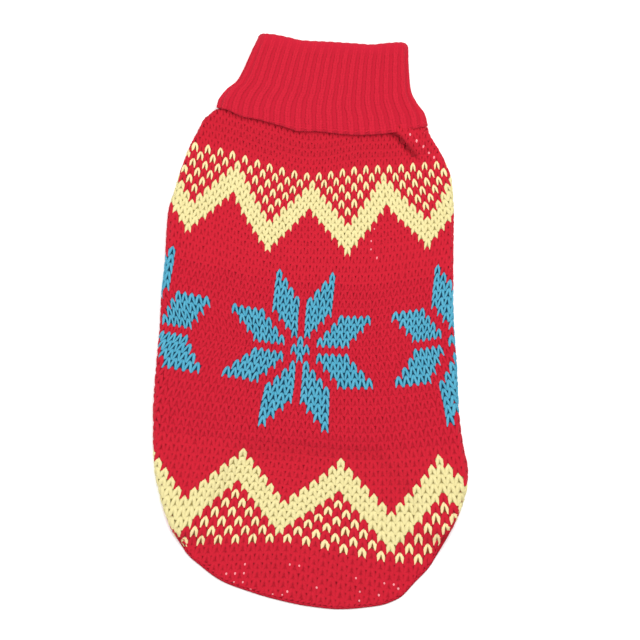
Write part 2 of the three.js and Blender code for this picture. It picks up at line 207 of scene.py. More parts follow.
def section_base(share, x):
    """y of a section: slanted and bowed like the neck seam at share 0, straight from a share on."""
    neckness = (1 - np.minimum(share / BOW_FADES_AT, 1)) ** 2
    across = (x - SEAM["middle"]) / mix(TAIL_HALF_WIDTH, SEAM["half_width"], neckness)
    level = mix(SEAM["level"] - SEAM_GAP, TAIL_CORNER_Y, share)
    return level + neckness * (SEAM["slope"] * (x - SEAM["middle"]) - SEAM["bow"] * (1 - across**2))


def section_edges(share):
    """Where a section meets the outline on either side, found by going back and forth between the two."""
    edges = {}
    for side in SIDES:
        y = section_base(share, 0.0)
        for _ in range(12):
            y = section_base(share, outline_at(side, y))
        edges[side] = y
    return edges


def section_y(share, edges, x):
    """The base line, sagging to the shape of the round tail over the last stretch."""
    left = outline_at("left", edges["left"])
    right = outline_at("right", edges["right"])
    tail_x = mix(TAIL_EDGE[0, 0], TAIL_EDGE[-1, 0], np.clip((x - left) / (right - left), 0, 1))
    sag = ease_step((share - TAIL_SAG_START) / (1 - TAIL_SAG_START))
    return section_base(share, x) - sag * smooth_curve(TAIL_EDGE[:, 0], TAIL_EDGE[:, 1], tail_x)


def level_share(y):
    """Share along the body of a section whose middle is at this height."""
    return (SEAM["level"] - SEAM_GAP - y) / (SEAM["level"] - SEAM_GAP - TAIL_CORNER_Y)


def belly_end_line(x):
    share = level_share(BELLY_END_Y)
    return section_y(share, section_edges(share), x)


def crease_height(x, y):
    """A lap across the crease: a steep step up at its line that dies out as exp(-(s / width)^2) on the outer
    side, and a narrow dip of the same form on the inner side."""
    along_line = CREASE_TO - CREASE_FROM
    length = np.hypot(*along_line)
    dx, dy = x - CREASE_FROM[0], y - CREASE_FROM[1]
    along = (dx * along_line[0] + dy * along_line[1]) / length
    across = (dy * along_line[0] - dx * along_line[1]) / length
    ends = ease_step(along / CREASE_START) * ease_step((length - along) / CREASE_FADE)
    step = ease_step((across + LAP_LEAD) / LAP_STEP)
    lap = LAP_HEIGHT * step * np.exp(-((np.maximum(across, 0) / LAP_WIDTH) ** 2))
    dip = DIP_DEPTH * np.exp(-(((across + DIP_AWAY) / DIP_WIDTH) ** 2))
    return ends * (lap - dip)


def top_height(x, y):
    """Height of the top layer: on what lies below it, with a swell beside each fold."""
    folds = {side: fold_at(side, y) for side in SIDES}
    bare = 1 - ease_step((y - belly_end_line(x) + 1 + REST_SLOPE) / REST_SLOPE)
    for side, sign in SIDES.items():
        inward = sign * (folds[side]["start"] - x) - folds[side]["wrap"] - 1
        bare = bare * (1 - (1 - ease_step(inward / REST_SLOPE)) * (1 - folds[side]["opening"]))
    rest = CLOTH + SECOND_LAYER * (1 - bare)
    height = rest
    for side, sign in SIDES.items():
        inward = sign * (folds[side]["start"] - x)
        height = height + (folds[side]["top"] - rest) * (1 - ease_step(inward / SWELL_WIDTH))
    return height + neck_lift(x, y) + crease_height(x, y)


def grid_faces(rows, columns, close_rows=False, close_columns=False):
    """Four-sided faces over a grid of points, counted row by row."""
    row = np.arange(rows if close_rows else rows - 1)[:, None]
    column = np.arange(columns if close_columns else columns - 1)[None, :]
    next_row, next_column = (row + 1) % rows, (column + 1) % columns
    corners = [row * columns + column, next_row * columns + column,
               next_row * columns + next_column, row * columns + next_column]
    return np.stack([np.broadcast_to(c, (row.size, column.size)).ravel() for c in corners], axis=1)


def new_object(name, points, faces, material):
    """A mesh object from points in millimetres and four-sided faces, smooth shaded."""
    mesh = bpy.data.meshes.new(name)
    mesh.vertices.add(len(points))
    mesh.vertices.foreach_set("co", (np.asarray(points, float) * MM).ravel())
    mesh.loops.add(faces.size)
    mesh.loops.foreach_set("vertex_index", faces.ravel().astype(np.int32))
    mesh.polygons.add(len(faces))
    mesh.polygons.foreach_set("loop_start", np.arange(0, faces.size, 4, dtype=np.int32))
    mesh.update(calc_edges=True)
    mesh.polygons.foreach_set("use_smooth", np.ones(len(faces), bool))
    mesh.materials.append(material)
    piece = bpy.data.objects.new(name, mesh)
    bpy.context.scene.collection.objects.link(piece)
    return piece


def closed_sheet(name, outer, inner, material):
    """A sheet of cloth from two grids of points, with a rim of faces all round."""
    rows, columns = outer.shape[:2]
    face = grid_faces(rows, columns)
    back = face[:, ::-1] + rows * columns
    index = np.arange(rows * columns).reshape(rows, columns)
    border = np.concatenate([index[0, :-1], index[:-1, -1], index[-1, :0:-1], index[:0:-1, 0]])
    ahead = np.roll(border, -1)
    rim = np.stack([border, ahead, ahead + rows * columns, border + rows * columns], axis=1)
    points = np.concatenate([outer.reshape(-1, 3), inner.reshape(-1, 3)])
    return new_object(name, points, np.concatenate([face, back, rim]), material)


def back_panel_grid(shares, depth):
    """Points of the back panel on its sections, at a depth below the cloth's surface."""
    edges = section_edges(shares)
    parts = []
    for side in SIDES:
        fold = fold_at(side, edges[side])
        bend = np.minimum(fold["full_bend"], 0.8 * fold["length"])
        steps = np.concatenate([np.linspace(0, 1, 11)[1:], np.linspace(1, 2, 9)[1:]])[None, :]
        strip = fold["length"] - bend
        travel = bend[:, None] * np.minimum(steps, 1) + strip[:, None] * np.maximum(steps - 1, 0)
        wide = {key: value[:, None] for key, value in fold.items()}
        x, z = fold_point(wide, side, travel, depth)
        y = section_y(shares[:, None], {key: value[:, None] for key, value in edges.items()}, x)
        place = np.stack([x, y, z + neck_lift(x, y)], axis=-1)
        parts.append(place[:, ::-1] if side == "left" else place)
    start, end = (fold_at(side, edges[side])["start"][:, None] for side in SIDES)
    x = mix(start, end, np.linspace(0, 1, 61)[None, :])
    y = section_y(shares[:, None], {key: value[:, None] for key, value in edges.items()}, x)
    top = np.stack([x, y, top_height(x, y) - depth], axis=-1)
    return np.concatenate([parts[0], top, parts[1]], axis=1)


def socket(group, name, kind, direction, default=None):
    """A named input or output of a shader node group."""
    made = group.interface.new_socket(name=name, in_out=direction, socket_type=kind)
    if default is not None:
        made.default_value = default
    return made


def link_math(tree, operation, first, second=None):
    """A Math node on two sockets or numbers."""
    node = tree.nodes.new("ShaderNodeMath")
    node.operation = operation
    for slot_index, value in enumerate((first, second)):
        if value is None:
            continue
        if isinstance(value, (int, float)):
            node.inputs[slot_index].default_value = value
        else:
            tree.links.new(value, node.inputs[slot_index])
    return node.outputs[0]


def blend_colors(tree, kind, factor, first, second):
    """A Mix node on two colours."""
    node = tree.nodes.new("ShaderNodeMix")
    node.data_type = "RGBA"
    node.blend_type = kind
    for slot_index, value in ((0, factor), (6, first), (7, second)):
        if isinstance(value, (int, float, tuple)):
            node.inputs[slot_index].default_value = value
        else:
            tree.links.new(value, node.inputs[slot_index])
    return node.outputs[2]


def fuzz_group():
    """Short wool fibres: fine noise at two scales on Object coordinates, as a mask, a height and a normal."""
    group = bpy.data.node_groups.new("wool_fuzz", "ShaderNodeTree")
    socket(group, "Strength", "NodeSocketFloat", "INPUT", 0.5)
    socket(group, "Relief", "NodeSocketFloat", "INPUT", 0.0)
    socket(group, "Mask", "NodeSocketFloat", "OUTPUT")
    socket(group, "Normal", "NodeSocketVector", "OUTPUT")
    start = group.nodes.new("NodeGroupInput")
    end = group.nodes.new("NodeGroupOutput")
    place = group.nodes.new("ShaderNodeTexCoord")
    fibres = group.nodes.new("ShaderNodeTexNoise")
    fibres.inputs["Scale"].default_value = 2600
    fibres.inputs["Detail"].default_value = 4
    fibres.inputs["Roughness"].default_value = 0.7
    lumps = group.nodes.new("ShaderNodeTexNoise")
    lumps.inputs["Scale"].default_value = 420
    lumps.inputs["Detail"].default_value = 2
    group.links.new(place.outputs["Object"], fibres.inputs["Vector"])
    group.links.new(place.outputs["Object"], lumps.inputs["Vector"])
    both = link_math(group, "ADD", link_math(group, "MULTIPLY", fibres.outputs["Fac"], 0.6),
                     link_math(group, "MULTIPLY", lumps.outputs["Fac"], 0.4))
    bump = group.nodes.new("ShaderNodeBump")
    bump.inputs["Distance"].default_value = 0.0004
    group.links.new(start.outputs["Strength"], bump.inputs["Strength"])
    group.links.new(link_math(group, "ADD", both, start.outputs["Relief"]), bump.inputs["Height"])
    group.links.new(both, end.inputs["Mask"])
    group.links.new(bump.outputs["Normal"], end.inputs["Normal"])
    return group


FUZZ = fuzz_group()


def place_fuzz(tree, strength):
    node = tree.nodes.new("ShaderNodeGroup")
    node.node_tree = FUZZ
    node.inputs["Strength"].default_value = strength
    return node


def wool_core(name, color, shade):
    """The inside of the knitted cloth: matte wool, mottled by its fibres, in colours darker than its yarn's as
    painted shade for the gaps between the stitches.
    """
    material = bpy.data.materials.new(name)
    material.use_nodes = True
    tree = material.node_tree
    finish = tree.nodes["Principled BSDF"]
    finish.inputs["Roughness"].default_value = 0.95
    finish.inputs["Specular IOR Level"].default_value = 0.1
    finish.inputs["Sheen Weight"].default_value = 0.05
    finish.inputs["Sheen Roughness"].default_value = 0.5
    fuzz = place_fuzz(tree, 0.8)
    tree.links.new(blend_colors(tree, "MIX", fuzz.outputs["Mask"], shade, color), finish.inputs["Base Color"])
    tree.links.new(fuzz.outputs["Normal"], finish.inputs["Normal"])
    return material


# The red core is darker than the red yarn: painted shade where it shows in the gaps.
RED_CORE = wool_core("red_wool_core", (0.38, 0.008, 0.021, 1), (0.32, 0.006, 0.017, 1))
BACK_SHARES = np.linspace(0, 1, 121)
back_cloth = closed_sheet(
    "back_cloth",
    back_panel_grid(BACK_SHARES, STITCH_SINK),
    back_panel_grid(BACK_SHARES, CLOTH - PURL_HEIGHT),
    RED_CORE,
)
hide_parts("back_panel")
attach(back_cloth, "root")

# Stitches of the back panel: plain knitting from the neck to the tail. Each stitch is a pair of yarn legs
# that meet at the top and open downwards, over the legs of the row before. The pattern is common jacquard:
# cream zigzags with seed stitches beside them, and eight-petalled stars in blue. It is charted by rule.

# Where the rows lie. Columns: row, x of the middle stitch, stitch width left and right of it, then the row's
# y at the stitches that READ_COLUMNS names.
READ_COLUMNS = np.array([-18, -9, 0, 9, 18])
KNIT_ROWS = np.array([
    (-30, 3.2, 3.48, 3.36, 138.6, 130.2, 122.7, 125.9, 127.0),
    (-22, 1.6, 3.57, 3.39, 101.5, 93.1, 85.5, 89.6, 90.5),
    (-15, -1.3, 3.72, 3.82, 69.0, 60.6, 55.9, 55.7, 59.2),
    (-12, -1.6, 3.83, 3.86, 55.9, 47.6, 43.2, 42.3, 47.2),
    (-9, -2.4, 3.83, 3.80, 40.9, 33.1, 28.7, 27.3, 31.3),
    (-4, -4.9, 3.80, 3.77, 16.2, 8.1, 4.6, 2.3, 6.4),
    (0, -6.0, 3.54, 3.74, -3.5, -10.4, -13.9, -15.7, -11.0),
    (4, -7.0, 4.00, 4.03, -20.9, -27.0, -32.7, -33.1, -30.2),
    (9, -9.6, 4.52, 4.47, -47.0, -52.8, -56.4, -59.7, -56.3),
    (13, -10.6, 4.70, 4.70, -68.4, -72.2, -76.2, -79.8, -78.6),
    (19, -15.2, 4.80, 5.16, -101.5, -102.1, -103.2, -109.0, -113.1),
    (23, -18.3, 4.96, 5.39, -127.0, -124.4, -123.7, -131.7, -135.7),
    (31, -22.6, 5.22, 5.57, -168.2, -165.6, -165.0, -173.4, -177.5),
])
# How far the knitting is pulled up from those curves, a line for each row above and a value for each stitch
# that KNIT_COLUMNS names.
KNIT_COLUMNS = np.array([-24, -18, -13, -9, 0, 9, 13, 18])
PULLED_UP = np.array([
    (1.0, 1.4, 1.6, 0.6, 0.6, 0.8, 0.6, 1.5),
    (1.0, 1.4, 1.9, 0.6, 0.6, 0.8, 0.6, 1.5),
    (1.2, 1.6, 2.4, 0.5, 0.6, 1.6, 1.4, 1.3),
    (0.8, 1.2, 1.6, 0.1, 0.5, 1.6, 1.7, 0.8),
    (0.8, 1.2, 1.6, 0.3, 0.2, 0.8, 1.0, 0.6),
    (0.3, 1.5, 2.4, 1.4, 0.2, 0.8, 1.5, 1.2),
    (-0.3, 0.9, 1.2, 1.0, 0.6, 1.2, 1.2, 0.5),
    (-0.4, 0.2, 0.0, 0.5, 0.0, 0.0, -0.1, 0.0),
    (1.5, 0.3, 0.0, 0.3, 0.3, 0.3, 0.5, 1.5),
    (4.0, 0.8, 0.0, 0.0, 0.0, -0.4, 0.0, 1.2),
    (1.0, 0.5, 1.0, 0.5, -0.5, -1.0, 0.5, 2.3),
    (0.0, 0.0, -0.5, 0.5, 0.9, 0.5, -0.6, 0.5),
    (0.0, 0.0, -0.5, 0.5, 0.9, 0.5, -0.6, 0.5),
])
READ_HEIGHTS = np.array([smooth_curve(READ_COLUMNS, row[4:], KNIT_COLUMNS, run_on=True) for row in KNIT_ROWS])
KNIT_HEIGHTS = np.round(READ_HEIGHTS + PULLED_UP, 1)
# The stitches of the two side stars are pulled outwards round the middle row. Columns: stitch, x shift.
SIDE_STAR_PULL = np.array([
    (-28, -1.0), (-22, -3.0), (-17, -4.4), (-12, -1.6), (-6, -0.4), (0, 0), (6, 0.3), (12, 0.9), (16, 3.0),
    (21, 1.4), (28, 0.6),
])
SIDE_STAR_ROWS = 6.5
FIRST_ROW, LAST_ROW = -30, 32
WIDEST_COLUMN = 36
STITCH_MIDDLE = 0.4
EDGE_MARGIN = 0.9
PRESS_ZONE = 3.5
LEAST_MARGIN = 2.4

# One leg of a stitch, from the top to its lower end. Columns: how far down in rows, sideways in stitch
# widths, half width in stitch widths, depth of its crown and half thickness in millimetres.
LEG = np.array([
    (-0.15, 0.050, 0.070, 0.60, 0.40),
    (0.05, 0.105, 0.170, 0.15, 0.65),
    (0.32, 0.190, 0.215, 0.00, 0.85),
    (0.62, 0.285, 0.215, 0.00, 0.85),
    (0.92, 0.360, 0.190, 0.15, 0.75),
    (1.20, 0.410, 0.110, 0.55, 0.50),
])
# The same for the neck and the tail, where the legs are plump and close the gaps to dots.
PLUMP_LEG = np.array([
    (-0.15, 0.060, 0.140, 0.24, 0.40),
    (0.05, 0.115, 0.250, 0.05, 0.50),
    (0.32, 0.190, 0.300, 0.00, 0.56),
    (0.62, 0.285, 0.290, 0.00, 0.56),
    (0.92, 0.345, 0.275, 0.05, 0.52),
    (1.25, 0.395, 0.220, 0.22, 0.42),
])
# Red yarn fills its stitches more than blue, and cream yarn more than red.
FULL_LEG = LEG * np.array([1, 1, 1.22, 1, 1])
CREAM_LEG = LEG * np.array([1, 1, 1.34, 1, 0.85])
# A seed stitch stands alone, with red on every side, and bends round like an arch.
SEED_LEG = np.array([
    (-0.10, 0.075, 0.120, 0.45, 0.42),
    (0.05, 0.145, 0.215, 0.12, 0.68),
    (0.28, 0.225, 0.240, 0.00, 0.85),
    (0.55, 0.285, 0.225, 0.00, 0.85),
    (0.82, 0.330, 0.190, 0.15, 0.75),
    (1.06, 0.360, 0.115, 0.55, 0.50),
])
LEG_SIDES = 6
STITCH_JITTER = 0.025

# Back of the loop, the flat yarn in the gaps round the legs, coloured all over with painted shade: its
# middle and half width in rows, its half length in stitch widths, its depth and half thickness in millimetres,
# and its mark in the map, which gives it the painted shade.
BACK_MIDDLE, BACK_HALF_WIDTH = 0.72, 0.60
BACK_HALF_LENGTH = 0.53
BACK_DEPTH, BACK_HALF_THICKNESS = 0.60, 0.25
BACK_MARK = 1.5

# The chart. A zigzag is four rows deep and repeats every 12 stitches, and a star every 24.
ZIGZAG_REPEAT = 12
STAR_REPEAT = 24
UPPER_VALLEY_ROW = -12
LOWER_PEAK_ROW = 13
ZIGZAG_DEPTH = 4
UPPER_SEED_END = -22
LOWER_SEED_END = 23
PETAL_LENGTH = 5
PETAL_WIDTH = 4


def knit_place(column, row):
    """Unfolded place of a point of the knitting, in plan."""
    width = np.where(column < 0, smooth_curve(KNIT_ROWS[:, 0], KNIT_ROWS[:, 2], row),
                     smooth_curve(KNIT_ROWS[:, 0], KNIT_ROWS[:, 3], row))
    x = smooth_curve(KNIT_ROWS[:, 0], KNIT_ROWS[:, 1], row, run_on=True) + width * column
    pull = smooth_curve(SIDE_STAR_PULL[:, 0], SIDE_STAR_PULL[:, 1], column)
    x = x + pull * np.exp(-((row / SIDE_STAR_ROWS) ** 2))
    heights = [smooth_curve(KNIT_ROWS[:, 0], line, row, run_on=True).ravel() for line in KNIT_HEIGHTS.T]
    return x, smooth_curve(KNIT_COLUMNS, np.array(heights), column, run_on=True)


def tail_hem(x):
    """The hem's y, with the last x of the round tail beyond its corners."""
    return TAIL_CORNER_Y - smooth_curve(TAIL_EDGE[:, 0], TAIL_EDGE[:, 1], x)


def folded_place(spread_x, y, depth):
    """Where a point of the cloth, spread out flat, lies once its sides are folded under."""
    x, z = spread_x, top_height(spread_x, y) - depth
    for side, sign in SIDES.items():
        fold = fold_at(side, y)
        travel = sign * (spread_x - fold["start"])
        fold_x, fold_z = fold_point(fold, side, np.maximum(travel, 0), depth)
        x = np.where(travel > 0, fold_x, x)
        z = np.where(travel > 0, fold_z + neck_lift(fold_x, y), z)
    return np.stack([x, y, z], axis=-1)


def pressed(room):
    """Room left before an edge, once a stitch is pressed against it: as it is down to the press zone Z, and
    below that m + (Z - m) e^((room - Z) / (Z - m)), which never goes under the margin m."""
    zone = PRESS_ZONE - EDGE_MARGIN
    squeezed = EDGE_MARGIN + zone * np.exp(np.minimum(room - PRESS_ZONE, 0) / zone)
    return np.where(room > PRESS_ZONE, room, squeezed)


def on_back_panel(column, row, depth):
    """Place of a point of the knitting. Stitches that would cross an edge are pressed against it."""
    x, y = knit_place(column, row)
    hem = tail_hem(x)
    y = hem + pressed(y - hem)
    for side, sign in SIDES.items():
        fold = fold_at(side, y)
        edge = fold["start"] + sign * fold["length"]
        x = edge - sign * pressed(sign * (edge - x))
    return folded_place(x, y, depth)


def back_panel_has(column, row):
    """Whether the middle of a stitch lies on the cloth, clear of its edges."""
    x, y = knit_place(column, row + STITCH_MIDDLE)
    inside = (y > tail_hem(x) + LEAST_MARGIN) & (y < bowed_line(SEAM, x) - EDGE_MARGIN)
    for side, sign in SIDES.items():
        fold = fold_at(side, y)
        inside &= sign * (x - fold["start"]) < fold["length"] - LEAST_MARGIN
    return inside


def zigzag_offset(column):
    """0 at the middle of a zigzag's slope ends towards the tail, 6 at its points towards the neck."""
    return np.abs(np.mod(column, ZIGZAG_REPEAT) - ZIGZAG_REPEAT // 2)


def cream_stitches(column, row):
    """Both zigzags, and the seed stitches that fill the points behind them."""
    offset = zigzag_offset(column)
    upper = UPPER_VALLEY_ROW - offset - row
    lower = row - LOWER_PEAK_ROW - offset
    zigzag = ((upper >= 0) & (upper < ZIGZAG_DEPTH)) | ((lower >= 0) & (lower < ZIGZAG_DEPTH))
    seed = (upper > ZIGZAG_DEPTH) & (upper % 2 == 1) & (row >= UPPER_SEED_END)
    seed |= (lower > ZIGZAG_DEPTH) & (lower % 2 == 1) & (row <= LOWER_SEED_END)
    return zigzag, seed


def blue_stitches(column, row):
    """A star: four upright and four level petals, mirrored both ways, round a plus of five stitches."""
    half = STAR_REPEAT // 2
    across = np.abs(np.mod(column + half, STAR_REPEAT) - half)
    down = np.abs(row)
    upright = (across >= 1) & (across <= PETAL_WIDTH) & (down > across) & (down <= across + PETAL_LENGTH)
    level = (down >= 1) & (down <= PETAL_WIDTH) & (across > down + 1) & (across <= down + 1 + PETAL_LENGTH)
    return upright | level | ((across == 0) & (down <= 1)) | ((across == 1) & (down == 0))


def tube_faces(ring_count):
    """A tube of rings with six points each, closed at both ends by two faces."""
    tube = grid_faces(ring_count, LEG_SIDES, close_columns=True)
    cap = np.array([(0, 1, 2, 5), (2, 3, 4, 5)])
    return np.concatenate([tube, cap[:, ::-1], cap + (ring_count - 1) * LEG_SIDES])


def map_yarn(piece, faces, around, along, shade):
    """The yarn's own map, round it in x and along it in y, and a shade for each strand."""
    layer = piece.data.uv_layers.new(name="UVMap")
    layer.data.foreach_set("uv", np.stack([around[faces.ravel()], along[faces.ravel()]], axis=1).ravel())
    tint = piece.data.attributes.new("tint", "FLOAT", "POINT")
    tint.data.foreach_set("value", shade.ravel().astype(np.float32))


def stitch_piece(name, columns, rows, place, material, random, leg=LEG):
    """Two closed legs and the back of the loop for each stitch. A ring of a leg is an ellipse round its
    middle, and every point is carried to the cloth by the place function of column, row and depth."""
    count = len(columns)
    rings = len(leg)
    angle = np.linspace(0, 2 * np.pi, LEG_SIDES, endpoint=False) + np.pi / LEG_SIDES
    side = np.array([-1.0, 1.0])[None, :, None, None]
    ring = leg[None, None, :, None, :]
    shift = random.normal(0, STITCH_JITTER, (2, count, 2, 1, 1))
    girth = 1 + random.normal(0, 0.05, (count, 2, 1, 1))
    leg_shape = (count, 2, rings, LEG_SIDES)
    across = side * (ring[..., 1] + girth * ring[..., 2] * np.cos(angle)) + shift[0]
    down = np.broadcast_to(ring[..., 0] + shift[1], leg_shape)
    depth = np.broadcast_to(ring[..., 3] + ring[..., 4] * (1 - np.sin(angle)), leg_shape)
    back_end = np.array([-BACK_HALF_LENGTH, BACK_HALF_LENGTH])[None, :, None]
    back_shape = (count, 2, LEG_SIDES)
    back_across = np.broadcast_to(back_end, back_shape)
    back_down = np.broadcast_to(BACK_MIDDLE + BACK_HALF_WIDTH * np.cos(angle), back_shape)
    back_depth = np.broadcast_to(BACK_DEPTH + BACK_HALF_THICKNESS * (1 - np.sin(angle)), back_shape)
    stitch = [np.concatenate([legs.reshape(count, -1), back.reshape(count, -1)], axis=1)
              for legs, back in ((across, back_across), (down, back_down), (depth, back_depth))]
    points = place(columns[:, None] + stitch[0], rows[:, None] + stitch[1], stitch[2]).reshape(-1, 3)

    leg_points = rings * LEG_SIDES
    left = tube_faces(rings)
    right = left[:, ::-1] + leg_points
    back = tube_faces(2) + 2 * leg_points
    one = np.concatenate([left, right, back])
    faces = (one[None] + (np.arange(count) * stitch[0].shape[1])[:, None, None]).reshape(-1, 4)
    piece = new_object(name, points, faces, material)
    around = np.tile(np.arange(LEG_SIDES) / LEG_SIDES, (count, 2 * rings + 2)).ravel()
    leg_along = np.tile(np.repeat(leg[:, 0], LEG_SIDES), 2)
    along = np.tile(np.concatenate([leg_along, np.full(2 * LEG_SIDES, BACK_MARK)]), count)
    shade = np.repeat(random.uniform(-1, 1, (count, 3)), [leg_points, leg_points, 2 * LEG_SIDES], axis=1)
    map_yarn(piece, faces, around, along, shade)
    return piece


# Phase of the plies along a leg and round it, where two plies show in a turn.
PLY_SLANT = 14.0
PLY_TURN = 12.566


def yarn_group():
    """Plied yarn: slanting plies, each leg with its own tint, with painted shade in the ply grooves, at the
    leg's ends where it passes under the next yarn, and all over the loop's back.
    """
    group = bpy.data.node_groups.new("plied_yarn", "ShaderNodeTree")
    for title in ("Wool", "Shade", "Painted Shade"):
        socket(group, title, "NodeSocketColor", "INPUT")
    socket(group, "Color", "NodeSocketColor", "OUTPUT")
    socket(group, "Normal", "NodeSocketVector", "OUTPUT")
    start = group.nodes.new("NodeGroupInput")
    end = group.nodes.new("NodeGroupOutput")
    own_map = group.nodes.new("ShaderNodeUVMap")
    own_map.uv_map = "UVMap"
    parts = group.nodes.new("ShaderNodeSeparateXYZ")
    group.links.new(own_map.outputs[0], parts.inputs[0])
    along = parts.outputs["Y"]
    slant = link_math(group, "ADD", link_math(group, "MULTIPLY", along, PLY_SLANT),
                      link_math(group, "MULTIPLY", parts.outputs["X"], PLY_TURN))
    plies = link_math(group, "MULTIPLY", link_math(group, "SINE", slant), 0.25)
    own_tint = group.nodes.new("ShaderNodeAttribute")
    own_tint.attribute_name = "tint"
    fuzz = place_fuzz(group, 0.45)
    group.links.new(plies, fuzz.inputs["Relief"])
    # The colour mask holds fibre mottle, each strand's tint, and painted shade in the ply grooves, where the
    # bump sinks.
    mask = link_math(group, "ADD", fuzz.outputs["Mask"], link_math(group, "MULTIPLY", plies, 0.5))
    mask = link_math(group, "ADD", mask, link_math(group, "MULTIPLY", own_tint.outputs["Fac"], 0.22))
    body = blend_colors(group, "MIX", mask, start.outputs["Shade"], start.outputs["Wool"])
    # Painted shade: at the leg's lower end, where it tucks under the next row, and at its top, under the row
    # before. The loop's back takes it all over.
    low = group.nodes.new("ShaderNodeMapRange")
    low.interpolation_type = "SMOOTHSTEP"
    low.inputs["From Min"].default_value = 0.9
    low.inputs["From Max"].default_value = BACK_MARK
    low.inputs["To Max"].default_value = 0.45
    group.links.new(along, low.inputs["Value"])
    high = group.nodes.new("ShaderNodeMapRange")
    high.interpolation_type = "SMOOTHSTEP"
    high.inputs["From Min"].default_value = 0.05
    high.inputs["From Max"].default_value = -0.15
    high.inputs["To Max"].default_value = 0.30
    group.links.new(along, high.inputs["Value"])
    ends = link_math(group, "MAXIMUM", low.outputs[0], high.outputs[0])
    ends = link_math(group, "MAXIMUM", ends, link_math(group, "GREATER_THAN", along, BACK_MARK - 0.1))
    group.links.new(blend_colors(group, "MIX", ends, body, start.outputs["Painted Shade"]), end.inputs["Color"])
    group.links.new(fuzz.outputs["Normal"], end.inputs["Normal"])
    return group


PLIED_YARN = yarn_group()


def wool_yarn(name, wool, shade, ends):
    """Wool yarn of one colour: matte, with a soft sheen from its nap, and a colour of painted shade for the
    ends of its legs and the loop's back.
    """
    material = bpy.data.materials.new(name)
    material.use_nodes = True
    tree = material.node_tree
    finish = tree.nodes["Principled BSDF"]
    finish.inputs["Roughness"].default_value = 0.9
    finish.inputs["Specular IOR Level"].default_value = 0.10
    finish.inputs["Sheen Weight"].default_value = 0.03
    finish.inputs["Sheen Roughness"].default_value = 0.5
    yarn = tree.nodes.new("ShaderNodeGroup")
    yarn.node_tree = PLIED_YARN
    for title, color in (("Wool", wool), ("Shade", shade), ("Painted Shade", ends)):
        yarn.inputs[title].default_value = color
    tree.links.new(yarn.outputs["Color"], finish.inputs["Base Color"])
    tree.links.new(yarn.outputs["Normal"], finish.inputs["Normal"])
    return material


# Each yarn: its wool, a darker tone for its fibres, plies and strands, and the painted shade of its gaps.
RED_YARN = wool_yarn(
    "red_yarn", (0.445, 0.010, 0.026, 1), (0.400, 0.008, 0.022, 1), (0.340, 0.006, 0.017, 1))
# The same red yarn where the knitting is closer, with a paler painted shade in its gaps.
CLOSE_YARN = wool_yarn(
    "close_yarn", (0.445, 0.010, 0.025, 1), (0.410, 0.009, 0.022, 1), (0.370, 0.007, 0.019, 1))
CREAM_YARN = wool_yarn(
    "cream_yarn", (0.632, 0.564, 0.284, 1), (0.580, 0.510, 0.240, 1), (0.22, 0.18, 0.06, 1))
# The seed yarn's painted shade is dark red: the red ground round it, in shade.
SEED_YARN = wool_yarn(
    "seed_yarn", (0.740, 0.610, 0.320, 1), (0.660, 0.530, 0.270, 1), (0.14, 0.030, 0.011, 1))
BLUE_YARN = wool_yarn(
    "blue_yarn", (0.088, 0.340, 0.460, 1), (0.045, 0.250, 0.370, 1), (0.003, 0.026, 0.056, 1))


def every_stitch(columns, rows):
    """Column and row of every stitch of a block, as two flat lists."""
    return (axis.ravel().astype(float) for axis in np.meshgrid(columns, rows))


knit_random = np.random.default_rng(7)
all_columns, all_rows = every_stitch(
    np.arange(-WIDEST_COLUMN, WIDEST_COLUMN + 1), np.arange(FIRST_ROW, LAST_ROW + 1))
kept = back_panel_has(all_columns, all_rows)
all_columns, all_rows = all_columns[kept], all_rows[kept]
zigzags, seeds = cream_stitches(all_columns, all_rows)
blue = blue_stitches(all_columns, all_rows)
red = ~(zigzags | seeds | blue)
# The red ground is three pieces, one after another down the body, so that none of them grows too large.
BACK_STITCHES = {
    "red_stitches_neck": (red & (all_rows < -8), CLOSE_YARN, PLUMP_LEG),
    "red_stitches_middle": (red & (all_rows >= -8) & (all_rows < 12), RED_YARN, FULL_LEG),
    "red_stitches_tail": (red & (all_rows >= 12), CLOSE_YARN, PLUMP_LEG),
    "cream_zigzag_neck": (zigzags & (all_rows < 0), CREAM_YARN, CREAM_LEG),
    "cream_zigzag_tail": (zigzags & (all_rows >= 0), CREAM_YARN, CREAM_LEG),
    "cream_seeds_neck": (seeds & (all_rows < 0), SEED_YARN, SEED_LEG),
    "cream_seeds_tail": (seeds & (all_rows >= 0), SEED_YARN, SEED_LEG),
    "blue_stars": (blue, BLUE_YARN, LEG),
}
for name, (chosen, yarn, leg) in BACK_STITCHES.items():
    piece = stitch_piece(name, all_columns[chosen], all_rows[chosen], on_back_panel, yarn, knit_random, leg)
    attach(piece, "root")

# Purl side of the back panel: the inner face of the knitting, which shows from below beyond the belly panel.
# Each stitch shows there as two short bars of its own yarn, bowed to opposite sides and half a stitch apart.
PURL_DEPTH, PURL_HALF_THICKNESS = CLOTH - 0.5, 0.42
PURL_BOW = 0.18
PURL_OVERLAP = 5.0

# One bar. Columns: sideways in stitch widths, half width in rows, share of the half thickness.
PURL_BAR = np.array([(-0.46, 0.11, 0.5), (0.0, 0.22, 1.0), (0.46, 0.11, 0.5)])


def purl_shows(column, row):
    """Whether a stitch's inner face is clear of the belly panel and the folded strips."""
    x, y = knit_place(column, row + STITCH_MIDDLE)
    inside = (y > tail_hem(x) + LEAST_MARGIN) & (y < belly_end_line(x) + PURL_OVERLAP)
    for side, sign in SIDES.items():
        fold = fold_at(side, y)
        free = np.where(fold["wrap"] > 0, PURL_OVERLAP - fold["wrap"], fold["length"] - LEAST_MARGIN)
        inside &= sign * (x - fold["start"]) < free
    return inside


